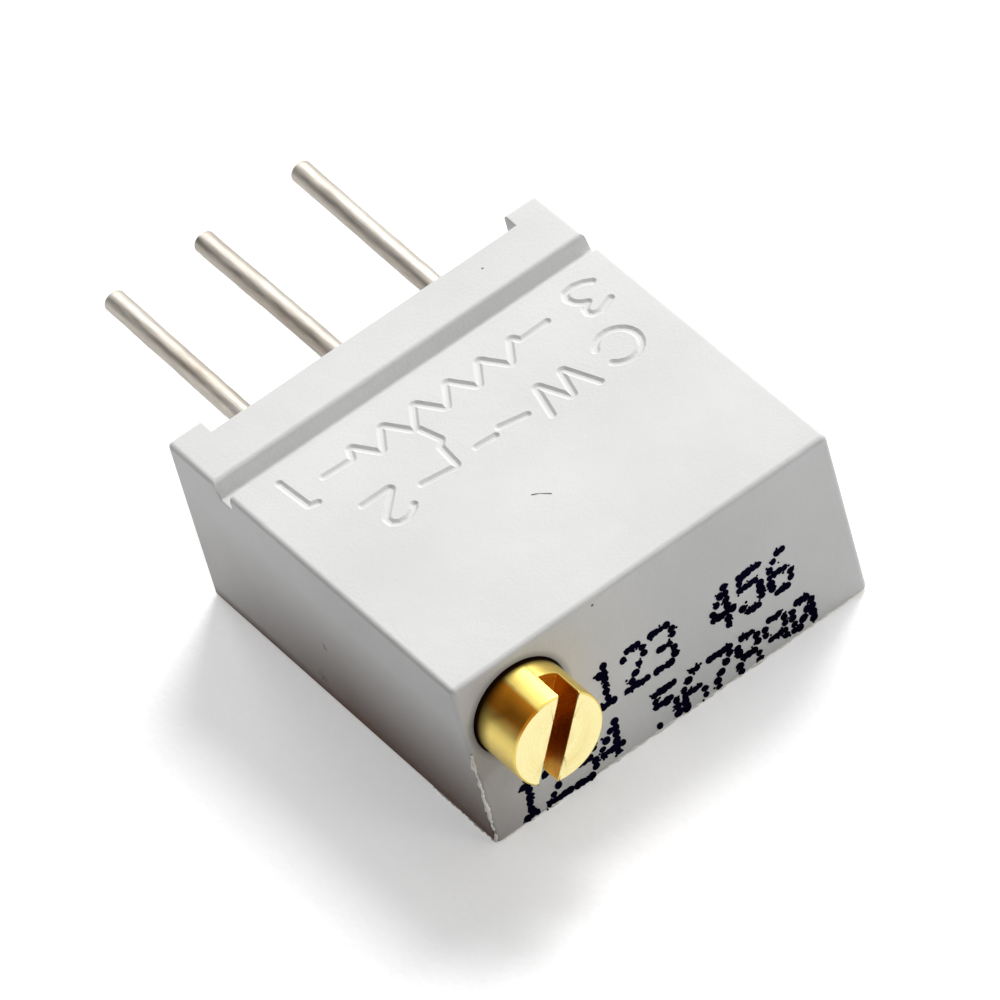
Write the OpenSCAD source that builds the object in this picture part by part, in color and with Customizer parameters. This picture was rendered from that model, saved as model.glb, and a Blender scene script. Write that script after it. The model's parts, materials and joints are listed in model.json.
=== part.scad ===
// Multi-turn trimmer potentiometer, 3/8 inch square, adjusted from the end opposite its pins.
// A brass worm turns a toothed rotor, whose spring fingers sweep a horseshoe track on a ceramic plate.
// The part lies on its plain broad face. X runs along the row of pins, Y from the screw's face
// to the pins, and Z up to the marked face. The origin is the centre of the resting face.
// Lengths are in millimetres and angles in degrees.

/* [Body] */
// Width of the body along the row of pins
body_w = 9.53; // [9.4:0.01:12]
// Length of the body from the screw's face to the pin face
body_l = 9.6; // [9.4:0.01:12]
// Thickness from the resting face to the marked face
body_t = 4.57; // [4.5:0.01:5.5]
// Radius of the moulded outer edges
edge_r = 0.12; // [0.04:0.01:0.2]
// Thickness of the two side walls
side_wall = 0.55; // [0.4:0.01:0.6]
// Thickness of the wall behind the marked face
top_wall = 0.5; // [0.4:0.01:0.52]
// Thickness of the wall behind the resting face
floor_wall = 0.6; // [0.45:0.01:0.7]
// Thickness of the wall that the screw passes through
front_wall = 1.36; // [1.3:0.01:1.5]

/* [Feet] */
// Width of each standoff foot at the pin face
foot_w = 0.85; // [0.5:0.01:1.3]
// Height of the feet above the pin face
foot_h = 0.45; // [0.2:0.01:0.8]

/* [Groove] */
// Distance from the pin face to the groove across the marked face
groove_from_pins = 1.22; // [1:0.01:1.5]
// Width of the groove at the marked face
groove_w = 0.58; // [0.3:0.01:0.7]
// Depth of the groove
groove_d = 0.38; // [0.1:0.01:0.45]
// Lean of the groove's wall on the pin side
groove_lean = 22; // [0:1:30]
// Wall left under the groove
groove_floor = 0.4; // [0.3:0.01:0.5]

/* [Screw] */
// Distance from the body's left side to the screw's axis
screw_from_side = 1.36; // [1.32:0.01:1.6]
// Distance from the marked face to the screw's axis
screw_from_top = 1.46; // [1.4:0.01:1.7]
// Diameter of the screw's head
head_d = 2.19; // [2:0.01:2.3]
// Length of the head outside the body
head_out = 1.32; // [0.9:0.01:2]
// Chamfer round the head's face
head_chamfer = 0.05; // [0.01:0.01:0.1]
// Width of the screwdriver slot
slot_w = 0.5; // [0.3:0.01:0.7]
// Depth of the screwdriver slot
slot_d = 0.76; // [0.4:0.01:0.9]
// Turn of the slot from upright at mid travel
slot_turn = 28; // [0:1:90]
// Radial gap between the head and its counterbore
head_gap = 0.145; // [0.08:0.005:0.15]
// Depth of the counterbore
counterbore_d = 0.55; // [0.4:0.01:0.6]
// Diameter of the shaft behind the head
shaft_d = 1.84; // [1.82:0.01:1.9]
// Thickness of the seal ring's cord
seal_cord = 0.36; // [0.3:0.01:0.4]
// Diameter of the screw's neck, held by the clip
neck_d = 1; // [0.9:0.01:1.2]
// Length of the collar between the neck and the worm
collar_l = 0.2; // [0.15:0.01:0.3]
// Diameter of the end pivot
pivot_d = 0.9; // [0.7:0.01:0.94]

/* [Retaining clip] */
// Thickness of the clip
clip_t = 0.2; // [0.15:0.01:0.25]
// Width of the clip
clip_w = 1.56; // [1.5:0.01:1.6]
// Height of the clip
clip_h = 1.85; // [1.6:0.01:1.9]

/* [Worm drive] */
// Number of teeth on the rotor
wheel_teeth = 30; // [28:1:32]
// Pitch radius of the rotor's teeth
wheel_pitch_r = 2.9; // [2.8:0.01:2.95]
// Pitch radius of the worm
worm_pitch_r = 0.69; // [0.67:0.01:0.69]
// Height of the worm's thread above and below its pitch radius
thread_h = 0.2; // [0.18:0.01:0.2]
// Length of the worm
worm_l = 5.2; // [4.6:0.1:5.4]
// Height of the rotor's teeth above their pitch radius
tooth_out = 0.12; // [0.1:0.01:0.13]
// Depth of the rotor's teeth below their pitch radius
tooth_in = 0.24; // [0.22:0.01:0.28]
// Clearance on each flank where the teeth mesh
flank_gap = 0.035; // [0.03:0.005:0.06]
// Turns of the screw from one end of travel to the other
travel_turns = 25; // [20:1:26]

/* [Rotor] */
// Width of the rotor's toothed rim along its axis
rim_t = 1; // [0.8:0.01:1.05]
// Radius of the rotor's hub
hub_r = 1.2; // [1.1:0.01:1.4]
// Radius inside the rotor's rim
rim_in_r = 2.2; // [2:0.01:2.3]
// Depth of the web's recess on each side of the rim
web_recess = 0.2; // [0.1:0.01:0.3]
// Radius of the boss that the rotor turns on
boss_r = 0.6; // [0.5:0.01:0.65]
// Half of the angle of the rotor's stop lug
lug_half = 12; // [8:1:14]
// Height of the stop lug
lug_h = 0.36; // [0.3:0.01:0.37]

/* [Element] */
// Height of the rails under the ceramic plate
rail_h = 0.55; // [0.4:0.01:0.6]
// Width of the rails under the ceramic plate
rail_w = 0.6; // [0.4:0.01:0.9]
// Thickness of the ceramic plate
plate_t = 0.635; // [0.5:0.005:0.65]
// Distance from the ceramic plate's edge to the pin face
plate_back = 0.45; // [0.4:0.01:0.6]
// Thickness of the printed films
film_t = 0.03; // [0.02:0.005:0.04]
// Mean radius of the resistive track
track_r = 2.2; // [2:0.01:2.3]
// Width of the resistive track
track_w = 0.7; // [0.5:0.01:0.8]
// Radius of the collector at the centre
collector_r = 0.85; // [0.7:0.01:1]
// Width of the printed leads
lead_w = 0.4; // [0.3:0.01:0.5]
// Width of the solder pads
pad_w = 0.95; // [0.8:0.01:1.2]

/* [Contacts] */
// Thickness of the contact spring
spring_t = 0.1; // [0.06:0.01:0.12]
// Width of the spring's outer arm
arm_w = 0.8; // [0.6:0.01:0.9]
// Width of the spring's inner tongue
tongue_w = 0.5; // [0.4:0.01:0.6]
// Distance that the tongue reaches past the rotor's axis
tongue_r = 0.15; // [0:0.01:0.3]
// Diameter of the contact wires
brush_d = 0.08; // [0.06:0.01:0.09]
// Length of the contact wires under the spring's arms
brush_hold = 0.25; // [0.2:0.01:0.3]
// Spacing of the contact wires
brush_pitch = 0.13; // [0.12:0.01:0.14]
// Gap left between the contact wires and the films
brush_gap = 0.02; // [0.01:0.005:0.03]

/* [Pins] */
// Spacing of the pins
pin_pitch = 2.54; // [2:0.01:2.8]
// Diameter of the pins
pin_d = 0.51; // [0.4:0.01:0.6]
// Length of the pins outside the pin face
pin_out = 6.45; // [3:0.01:12]
// Height of the pins above the resting face
pin_z = 2.65; // [2.55:0.01:2.8]
// Inner radius of the bends, measured at the wire's middle
bend_r = 0.4; // [0.35:0.01:0.45]
// Slope of the wire between its two bends
bend_slope = 50; // [45:1:60]
// Radius of the solder joints
solder_r = 0.42; // [0.38:0.01:0.45]

/* [End seal] */
// Thickness of the baffle that closes the mechanism's space
baffle_t = 0.45; // [0.4:0.01:0.5]
// Depth of the pivot's bearing in the baffle
bearing_d = 0.32; // [0.25:0.01:0.35]
// Depth of the sealant's surface below the pin face
seal_recess = 0.22; // [0.1:0.01:0.3]

/* [Clearances] */
// Radial running clearance of the shaft, the pivot and the rotor's bore
run_gap = 0.04; // [0.02:0.01:0.06]
// Clearance round the loose inner pieces
fit_gap = 0.02; // [0.01:0.01:0.04]
// Axial play of the screw on each side of the clip
end_play = 0.02; // [0.01:0.005:0.03]
// Squeeze left out between the seal ring and its bore
seal_gap = 0.005; // [0.002:0.001:0.01]
// Gap round the tips of the rotor's teeth
wheel_gap = 0.12; // [0.08:0.01:0.2]
// Gap between the rotor's faces and what they turn against
face_gap = 0.05; // [0.03:0.01:0.08]

/* [Hidden] */
$fn = 48;
// a cut runs this far past the face that it opens
past = 0.5;
// joined forms run this far into each other
lap = 0.02;

// the body's faces and its inner walls
front_y = -body_l / 2;
pin_face_y = body_l / 2;
foot_tip_y = pin_face_y + foot_h;
inner_x = body_w / 2 - side_wall;
inner_front_y = front_y + front_wall;
ceiling_z = body_t - top_wall;
seal_ceiling_z = body_t - groove_d - groove_floor;

// the screw, with s measured along its axis from the screw's face
screw_x = -body_w / 2 + screw_from_side;
screw_z = body_t - screw_from_top;
counterbore_r = head_d / 2 + head_gap;
bore_r = shaft_d / 2 + run_gap;
seal_groove_w = 1.2 * seal_cord;
seal_groove_s = (counterbore_d + front_wall) / 2;
seal_groove_r = bore_r - seal_cord - 2 * seal_gap;
neck_s = front_wall - end_play;
collar_s = front_wall + clip_t + end_play;
worm_s = collar_s + collar_l;

// the mesh of worm and rotor
lead = 2 * PI * wheel_pitch_r / wheel_teeth;
lead_angle = atan(lead / (2 * PI * worm_pitch_r));
tip_r = wheel_pitch_r + tooth_out;
root_r = wheel_pitch_r - tooth_in;
wheel_x = screw_x + worm_pitch_r + wheel_pitch_r;
wheel_y = inner_front_y + tip_r + wheel_gap;
travel = 360 * travel_turns / wheel_teeth;
// half of the worm's gap at height h above its pitch radius, less the clearance
function gap_half(h) = lead / 2 - lead / 360 * acos(h / thread_h) - flank_gap;
tooth_tip_half = gap_half(-tooth_out);
tooth_root_half = gap_half(0.9 * thread_h);

// the stack from the floor to the ceiling
plate_z = floor_wall + rail_h;
plate_top_z = plate_z + plate_t;
film_top_z = plate_top_z + film_t;
rim_z = screw_z - rim_t / 2;
rim_top_z = rim_z + rim_t;
hub_z = rim_z - spring_t;
hub_top_z = ceiling_z - face_gap;
boss_z = hub_z - face_gap;
ring_z = hub_z - spring_t;
brush_z = film_top_z + brush_gap;
arm_z = brush_z + 2 * brush_d;
arm_r = track_r - 0.1;
// the spring's arms come down to the wires over this distance
arm_run = 0.4;

// the pin end
baffle_y = wheel_y + tip_r + wheel_gap;
seal_y = baffle_y + baffle_t + fit_gap;
seal_end_y = pin_face_y - seal_recess;
plate_end_y = pin_face_y - plate_back;
pad_y = seal_y + 3 * fit_gap;
pad_end_y = plate_end_y - 5 * fit_gap;
pin_in_z = film_top_z + pin_d / 2;
wire_y = pad_y + fit_gap;
bend_y = wire_y + 0.3;
bend_thin = 0.005;
solder_l = 0.42;

// a rectangle with round corners, centred
module round_rect(w, l, r) {
    square([w - 2 * r, l], center = true);
    square([w, l - 2 * r], center = true);
    for (sx = [-1, 1], sy = [-1, 1])
        translate([sx * (w / 2 - r), sy * (l / 2 - r)]) circle(r);
}

// lays a shape drawn in the XY plane into the YZ plane and extrudes it along X, centred
module across(w) {
    rotate([90, 0, 90]) linear_extrude(w, center = true) children();
}

// puts a shape drawn along Z on the screw's axis, with Z running into the body
module on_screw_axis(s = 0) {
    translate([screw_x, front_y + s, screw_z]) rotate([-90, 0, 0]) children();
}

module at_wheel(z = 0) {
    translate([wheel_x, wheel_y, z]) children();
}

// a sector of a flat ring, centred on the angle mid
module ring_sector(r_in, w, h, mid, half) {
    rotate([0, 0, mid - half]) rotate_extrude(angle = 2 * half) translate([r_in, 0]) square([w, h]);
}

// a block between two corners
module block(a, b) {
    translate(a) cube(b - a);
}

// ---- body ----

module body_block() {
    total_l = body_l + foot_h;
    mid_y = foot_h / 2;
    intersection() {
        translate([0, mid_y, 0]) linear_extrude(body_t) round_rect(body_w, total_l, edge_r);
        translate([0, mid_y, body_t / 2]) across(body_w) round_rect(total_l, body_t, edge_r);
        translate([0, foot_tip_y, body_t / 2]) rotate([90, 0, 0]) linear_extrude(total_l)
            round_rect(body_w, body_t, edge_r);
    }
}

module foot_gap() {
    half = body_w / 2 - foot_w;
    block([-half, pin_face_y, -past], [half, foot_tip_y + past, body_t + past]);
}

module groove() {
    near_y = pin_face_y - groove_from_pins;
    lean = groove_d * tan(groove_lean);
    across(body_w + 2 * past) polygon([
        [near_y - groove_w, body_t + past],
        [near_y - groove_w, body_t - groove_d],
        [near_y - lean, body_t - groove_d],
        [near_y, body_t],
        [near_y, body_t + past]
    ]);
}

// the shaft's bore runs on along the side wall as the worm's channel
module screw_hole() {
    on_screw_axis(-past) cylinder(h = counterbore_d + past, r = counterbore_r);
    on_screw_axis() cylinder(h = baffle_y - front_y, r = bore_r);
}

module inner_space() {
    block([-inner_x, inner_front_y, floor_wall], [inner_x, baffle_y - fit_gap, ceiling_z]);
    block([-inner_x, inner_front_y, floor_wall], [inner_x, pin_face_y + past, seal_ceiling_z]);
}

module plate_rails() {
    for (x = [-inner_x, inner_x - rail_w])
        block([x, inner_front_y, floor_wall], [x + rail_w, plate_end_y, plate_z]);
}

// the rotor's boss, and the rib that its lug meets at each end of travel
module rotor_mount() {
    rib_half = 180 - travel / 2 - lug_half - 0.5;
    rib_z = rim_top_z + 2 * face_gap;
    at_wheel(boss_z) cylinder(h = ceiling_z - boss_z + lap, r = boss_r);
    at_wheel(rib_z) ring_sector(rim_in_r, root_r - rim_in_r, ceiling_z - rib_z + lap, 90, rib_half);
}

module housing() {
    color([0.88, 0.88, 0.87]) {
        difference() {
            body_block();
            foot_gap();
            groove();
            screw_hole();
            inner_space();
        }
        plate_rails();
        rotor_mount();
    }
}

// ---- screw ----

// half of the screw's outline, as [radius, s]
function screw_outline() = let(
    head_r = head_d / 2,
    shaft_r = shaft_d / 2,
    head_s = counterbore_d - end_play - fit_gap,
    groove_a = seal_groove_s - seal_groove_w / 2,
    groove_b = seal_groove_s + seal_groove_w / 2,
    end_s = baffle_y - front_y + bearing_d - end_play - fit_gap
) [
    [0, -head_out],
    [head_r - head_chamfer, -head_out],
    [head_r, -head_out + head_chamfer],
    [head_r, head_s],
    [shaft_r, head_s],
    [shaft_r, groove_a],
    [seal_groove_r, groove_a],
    [seal_groove_r, groove_b],
    [shaft_r, groove_b],
    [shaft_r, neck_s],
    [neck_d / 2, neck_s],
    [neck_d / 2, collar_s],
    [shaft_r, collar_s],
    [shaft_r, worm_s],
    [pivot_d / 2, worm_s],
    [pivot_d / 2, end_s],
    [0, end_s]
];

// a round bar set off its axis and twisted is a single-start worm; its gap faces the rotor's first tooth
module worm() {
    turns = worm_l / lead;
    start = -180 - 360 * (wheel_y - front_y - worm_s) / lead;
    on_screw_axis(worm_s) rotate([0, 0, start])
        linear_extrude(worm_l, twist = -360 * turns, slices = ceil(12 * turns), $fn = 18)
            translate([thread_h, 0]) circle(worm_pitch_r);
}

module adjustment_screw() {
    color([0.83, 0.68, 0.28]) {
        difference() {
            on_screw_axis() rotate_extrude() polygon(screw_outline());
            on_screw_axis(-head_out) rotate([0, 0, slot_turn])
                cube([slot_w, head_d + past, 2 * slot_d], center = true);
        }
        worm();
    }
}

module o_ring() {
    color([0.12, 0.12, 0.12])
        on_screw_axis(seal_groove_s) rotate_extrude()
            translate([bore_r - seal_gap - seal_cord / 2, 0]) circle(seal_cord / 2);
}

// a flat U that straddles the screw's neck against the front wall
module retaining_clip() {
    slot_r = neck_d / 2 + run_gap;
    top_z = ceiling_z - fit_gap;
    side_x = -inner_x + fit_gap;
    color([0.7, 0.71, 0.73]) difference() {
        block([side_x, inner_front_y, top_z - clip_h], [side_x + clip_w, inner_front_y + clip_t, top_z]);
        on_screw_axis(front_wall - past) cylinder(h = clip_t + 2 * past, r = slot_r);
        block(
            [screw_x - slot_r, inner_front_y - past, top_z - clip_h - past],
            [screw_x + slot_r, inner_front_y + clip_t + past, screw_z]
        );
    }
}

// ---- rotor ----

// teeth lean by the worm's lead angle, and a disc as wide as the rim trims their ends
module wheel_teeth_ring() {
    intersection() {
        cylinder(h = rim_t, r = tip_r);
        for (k = [0 : wheel_teeth - 1])
            rotate([0, 0, 180 + 360 * k / wheel_teeth]) translate([0, 0, rim_t / 2])
                rotate([-lead_angle, 0, 0]) linear_extrude(rim_t + past, center = true) polygon([
                    [rim_in_r + lap, -tooth_root_half],
                    [root_r, -tooth_root_half],
                    [tip_r + lap, -tooth_tip_half],
                    [tip_r + lap, tooth_tip_half],
                    [root_r, tooth_root_half],
                    [rim_in_r + lap, tooth_root_half]
                ]);
    }
}

module worm_wheel() {
    bore = boss_r + run_gap;
    web_z = rim_z + web_recess;
    web_top_z = rim_top_z - web_recess;
    color([0.93, 0.91, 0.84]) {
        at_wheel() rotate_extrude() polygon([
            [bore, hub_z],
            [hub_r, hub_z],
            [hub_r, web_z],
            [rim_in_r, web_z],
            [rim_in_r, rim_z],
            [root_r, rim_z],
            [root_r, rim_top_z],
            [rim_in_r, rim_top_z],
            [rim_in_r, web_top_z],
            [hub_r, web_top_z],
            [hub_r, hub_top_z],
            [bore, hub_top_z]
        ]);
        at_wheel(rim_z) wheel_teeth_ring();
        at_wheel(rim_top_z - lap)
            ring_sector(rim_in_r + lap, root_r - rim_in_r - 2 * lap, lug_h + lap, -90, lug_half);
    }
}

// ---- contacts: at mid travel the outer arm points at the screw's face ----

// side view of an arm that starts at the ring's edge, comes down and runs on level; y grows outwards
module arm_profile(edge, end) {
    dir = sign(end - edge);
    polygon([
        [edge - dir * 0.3, ring_z],
        [edge, ring_z],
        [edge + dir * arm_run, arm_z],
        [end, arm_z],
        [end, arm_z + spring_t],
        [edge + dir * (arm_run - fit_gap), arm_z + spring_t],
        [edge - dir * fit_gap, ring_z + spring_t],
        [edge - dir * 0.3, ring_z + spring_t]
    ]);
}

module contact_spring() {
    color([0.8, 0.62, 0.35]) {
        at_wheel(ring_z) difference() {
            cylinder(h = spring_t, r = hub_r - fit_gap);
            translate([0, 0, -past]) cylinder(h = 2 * past, r = boss_r + 2 * run_gap);
        }
        at_wheel() across(arm_w) arm_profile(-hub_r, -arm_r);
        at_wheel() across(tongue_w) arm_profile(boss_r + 2 * run_gap, -tongue_r);
    }
}

// count wires side by side under an arm that ends at y = end, turned down to the film past its end
module brush(count, end) {
    wire_z = arm_z - brush_d / 2;
    tip = end - 1.5 * brush_d;
    for (k = [0 : count - 1])
        at_wheel() translate([(k - (count - 1) / 2) * brush_pitch, 0, 0]) {
            translate([0, end + brush_hold, wire_z]) rotate([90, 0, 0])
                cylinder(h = brush_hold + end - tip, d = brush_d);
            translate([0, tip, brush_z]) cylinder(h = wire_z - brush_z, d = brush_d);
            translate([0, tip, wire_z]) sphere(d = brush_d);
        }
}

module wiper_brush() {
    color([0.85, 0.84, 0.8]) brush(5, -arm_r);
}

module collector_brush() {
    color([0.85, 0.84, 0.8]) brush(3, -tongue_r);
}

// ---- element ----

module ceramic_substrate() {
    color([0.93, 0.93, 0.9]) block(
        [-inner_x + fit_gap, inner_front_y + fit_gap, plate_z],
        [inner_x - fit_gap, plate_end_y, plate_top_z]
    );
}

module resistive_track() {
    color([0.2, 0.2, 0.22]) at_wheel(plate_top_z)
        ring_sector(track_r - track_w / 2, track_w, film_t, -90, travel / 2);
}

// printed films end at the plate's edge on the pin side
module on_plate() {
    intersection() {
        children();
        block([-inner_x, inner_front_y, plate_z], [inner_x, plate_end_y, film_top_z + past]);
    }
}

// a lead from one point of the plate to another
module printed_lead(a, b) {
    d = b - a;
    translate([a.x, a.y, plate_top_z]) rotate([0, 0, atan2(d.y, d.x)])
        translate([0, -lead_w / 2, 0]) cube([norm(d), lead_w, film_t]);
}

module pad(x) {
    block([x - pad_w / 2, pad_y, plate_top_z], [x + pad_w / 2, pad_end_y, film_top_z]);
}

module collector_film() {
    color([0.75, 0.75, 0.72]) on_plate() {
        at_wheel(plate_top_z) cylinder(h = film_t, r = collector_r);
        printed_lead([wheel_x, wheel_y], [0, bend_y]);
        pad(0);
    }
}

// side is -1 for pin 1 and 1 for pin 3
module end_film(side) {
    end_half = 6;
    end_angle = 90 - side * (180 - travel / 2 - end_half);
    end = [wheel_x + track_r * cos(end_angle), wheel_y + track_r * sin(end_angle)];
    color([0.75, 0.75, 0.72]) difference() {
        on_plate() {
            at_wheel(plate_top_z)
                ring_sector(track_r - track_w / 2, track_w, film_t, end_angle, end_half);
            printed_lead(end, [side * pin_pitch, bend_y]);
            pad(side * pin_pitch);
        }
        at_wheel(plate_top_z - past)
            ring_sector(track_r - track_w, 2 * track_w, 2 * past, -90, travel / 2);
    }
}

module end_film_1() {
    end_film(-1);
}

module end_film_3() {
    end_film(1);
}

// ---- pins ----

// a wire that lies on its pad, bends up and leaves straight through the pin face; it thins at its bends
module wire(x) {
    rise = pin_z - pin_in_z;
    bend_rise = bend_r * (1 - cos(bend_slope));
    slope_l = (rise - 2 * bend_rise) / sin(bend_slope);
    y2 = bend_y + bend_r * sin(bend_slope);
    y3 = y2 + slope_l * cos(bend_slope) + bend_r * sin(bend_slope);
    translate([x, 0, 0]) rotate([90, 0, 90]) {
        translate([wire_y, pin_in_z]) rotate([0, 90, 0]) cylinder(h = bend_y + lap - wire_y, d = pin_d);
        translate([bend_y, pin_in_z + bend_r]) rotate(-90) wire_bend();
        translate([y2, pin_in_z + bend_rise]) rotate([0, 0, bend_slope]) translate([-lap, 0])
            rotate([0, 90, 0]) cylinder(h = slope_l + 2 * lap, d = pin_d);
        translate([y3, pin_z - bend_r]) rotate(90) wire_bend();
        translate([y3 - lap, pin_z]) rotate([0, 90, 0])
            cylinder(h = pin_face_y + pin_out - y3 + lap, d = pin_d);
    }
}

module wire_bend() {
    rotate_extrude(angle = bend_slope) translate([bend_r, 0]) circle(pin_d / 2 - bend_thin);
}

module solder_mound(x) {
    translate([x, pad_y, film_top_z]) intersection() {
        rotate([-90, 0, 0]) cylinder(h = solder_l, r = solder_r);
        translate([-solder_r, 0, 0]) cube([2 * solder_r, solder_l, solder_r]);
    }
}

module solder_joint(x) {
    color([0.72, 0.73, 0.74]) difference() {
        solder_mound(x);
        wire(x);
    }
}

module pin(x) {
    color([0.74, 0.73, 0.7]) wire(x);
}

module solder_joint_1() {
    solder_joint(-pin_pitch);
}

module solder_joint_2() {
    solder_joint(0);
}

module solder_joint_3() {
    solder_joint(pin_pitch);
}

module pin_1() {
    pin(-pin_pitch);
}

module pin_2() {
    pin(0);
}

module pin_3() {
    pin(pin_pitch);
}

// ---- end seal ----

module end_baffle() {
    color([0.82, 0.8, 0.74]) difference() {
        block(
            [-inner_x + fit_gap, baffle_y, film_top_z + fit_gap],
            [inner_x - fit_gap, baffle_y + baffle_t, seal_ceiling_z - fit_gap]
        );
        on_screw_axis(baffle_y - front_y - past) cylinder(h = bearing_d + past, r = pivot_d / 2 + run_gap);
    }
}

module epoxy_seal() {
    color([0.78, 0.77, 0.72]) difference() {
        across(2 * inner_x) polygon([
            [seal_y, seal_ceiling_z],
            [seal_y, film_top_z],
            [plate_end_y + fit_gap, film_top_z],
            [plate_end_y + fit_gap, floor_wall],
            [seal_end_y, floor_wall],
            [seal_end_y, seal_ceiling_z]
        ]);
        for (k = [-1 : 1]) {
            wire(k * pin_pitch);
            solder_mound(k * pin_pitch);
        }
    }
}

housing();
adjustment_screw();
o_ring();
retaining_clip();
worm_wheel();
contact_spring();
wiper_brush();
collector_brush();
ceramic_substrate();
resistive_track();
collector_film();
end_film_1();
end_film_3();
solder_joint_1();
solder_joint_2();
solder_joint_3();
pin_1();
pin_2();
pin_3();
end_baffle();
epoxy_seal();
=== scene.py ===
import json
import math

import bmesh
import bpy
from mathutils import Matrix, Vector

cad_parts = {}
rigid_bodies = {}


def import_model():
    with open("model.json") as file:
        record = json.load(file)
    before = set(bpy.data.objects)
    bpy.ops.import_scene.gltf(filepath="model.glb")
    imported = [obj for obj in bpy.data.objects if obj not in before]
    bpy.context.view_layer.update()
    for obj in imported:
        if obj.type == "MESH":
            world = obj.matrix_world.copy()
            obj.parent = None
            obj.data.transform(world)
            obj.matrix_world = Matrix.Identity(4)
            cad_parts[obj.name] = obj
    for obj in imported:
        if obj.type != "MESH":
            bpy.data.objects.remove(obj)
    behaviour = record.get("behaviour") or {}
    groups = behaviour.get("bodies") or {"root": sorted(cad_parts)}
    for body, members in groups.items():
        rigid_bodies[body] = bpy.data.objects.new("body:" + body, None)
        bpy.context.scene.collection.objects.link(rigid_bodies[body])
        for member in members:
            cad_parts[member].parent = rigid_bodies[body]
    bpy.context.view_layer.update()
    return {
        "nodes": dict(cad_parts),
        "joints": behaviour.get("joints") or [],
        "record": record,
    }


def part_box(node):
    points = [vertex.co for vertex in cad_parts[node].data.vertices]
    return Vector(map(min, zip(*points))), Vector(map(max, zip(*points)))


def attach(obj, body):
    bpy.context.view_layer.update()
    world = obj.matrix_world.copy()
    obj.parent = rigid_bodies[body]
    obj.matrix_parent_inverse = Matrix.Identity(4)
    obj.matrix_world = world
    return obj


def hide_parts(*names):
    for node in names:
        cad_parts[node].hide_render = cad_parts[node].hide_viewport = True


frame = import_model()

# Pieces are modelled in millimetres and brought to metres when they are finished.
mm = 0.001
nodes = frame["nodes"]
joints = {j["name"]: j for j in frame["joints"]}
screwAxis = Vector(joints["screw_turn"]["pos_m"]) / mm
rotorAxis = Vector(joints["rotor_turn"]["pos_m"]) / mm


def boxMm(node):
    low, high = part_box(node)
    return low / mm, high / mm


caseLow, caseHigh = boxMm("housing")
screwLow, screwHigh = boxMm("adjustment_screw")
plateLow, plateHigh = boxMm("ceramic_substrate")
baffleLow, _ = boxMm("end_baffle")
sealLow, sealHigh = boxMm("epoxy_seal")
frontY = caseLow.y
topZ = caseHigh.z
print("frame loaded:", len(nodes), "nodes")


# ---- meshes ----

def addObject(name, data):
    obj = bpy.data.objects.new(name, data)
    bpy.context.scene.collection.objects.link(obj)
    return obj


def closeMesh(obj, bm):
    bmesh.ops.recalc_face_normals(bm, faces=bm.faces)
    bm.to_mesh(obj.data)
    bm.free()
    return obj


def meshObject(name, bm):
    return closeMesh(addObject(name, bpy.data.meshes.new(name)), bm)


def bake(obj):
    graph = bpy.context.evaluated_depsgraph_get()
    mesh = bpy.data.meshes.new_from_object(obj.evaluated_get(graph), depsgraph=graph)
    obj.modifiers.clear()
    obj.data = mesh
    return obj


def blockObject(name, low, high, rounding=0, steps=1):
    bm = bmesh.new()
    bmesh.ops.create_cube(bm, size=1)
    low, high = Vector(low), Vector(high)
    size = high - low
    for v in bm.verts:
        v.co = low + Vector([(v.co[i] + 0.5) * size[i] for i in range(3)])
    if rounding:
        bmesh.ops.bevel(bm, geom=bm.edges[:], offset=rounding, segments=steps, profile=0.5, affect="EDGES")
    return meshObject(name, bm)


# a sheet of faces over shares from 0 to 1 both ways
def gridFaces(bm, columns, rows, place):
    verts = [[bm.verts.new(place(i / columns, k / rows)) for k in range(rows + 1)]
             for i in range(columns + 1)]
    return [bm.faces.new((verts[i][k], verts[i + 1][k], verts[i + 1][k + 1], verts[i][k + 1]))
            for i in range(columns) for k in range(rows)]


def extrudeFaces(bm, faces):
    grown = bmesh.ops.extrude_face_region(bm, geom=faces)["geom"]
    return [v for v in grown if isinstance(v, bmesh.types.BMVert)]


# an outline drawn out into a solid
def prismObject(name, outline, reach):
    bm = bmesh.new()
    face = bm.faces.new([bm.verts.new(point) for point in outline])
    bmesh.ops.translate(bm, verts=extrudeFaces(bm, [face]), vec=reach)
    return meshObject(name, bm)


def arcPoints(centre, radius, fromAngle, toAngle, steps):
    angles = [fromAngle + (toAngle - fromAngle) * i / steps for i in range(steps + 1)]
    return [(centre[0] + radius * math.cos(math.radians(a)),
             centre[1] + radius * math.sin(math.radians(a))) for a in angles]


def latheObject(name, outline, axis, segments=128, alongY=True):
    bm = bmesh.new()
    rings = []
    for radius, along in outline:
        ring = []
        for k in range(segments if radius > 1e-6 else 1):
            turn = 2 * math.pi * k / segments
            a, b = radius * math.cos(turn), radius * math.sin(turn)
            place = (axis.x + a, along, axis.z + b) if alongY else (axis.x + a, axis.y + b, along)
            ring.append(bm.verts.new(place))
        rings.append(ring)
    for one, two in zip(rings, rings[1:]):
        for k in range(segments):
            j = (k + 1) % segments
            corners = [one[k % len(one)], one[j % len(one)], two[j % len(two)], two[k % len(two)]]
            corners = [c for i, c in enumerate(corners) if c not in corners[:i]]
            if len(corners) > 2:
                bm.faces.new(corners)
    return meshObject(name, bm)


def joinInto(obj, others, operation, selfOverlap=False):
    for other in others:
        step = obj.modifiers.new(other.name, "BOOLEAN")
        step.operation = operation
        step.solver = "EXACT"
        step.use_self = selfOverlap
        step.object = other
    bake(obj)
    for other in others:
        bpy.data.objects.remove(other)
    return obj


def openMesh(obj):
    bm = bmesh.new()
    bm.from_mesh(obj.data)
    return bm


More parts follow.
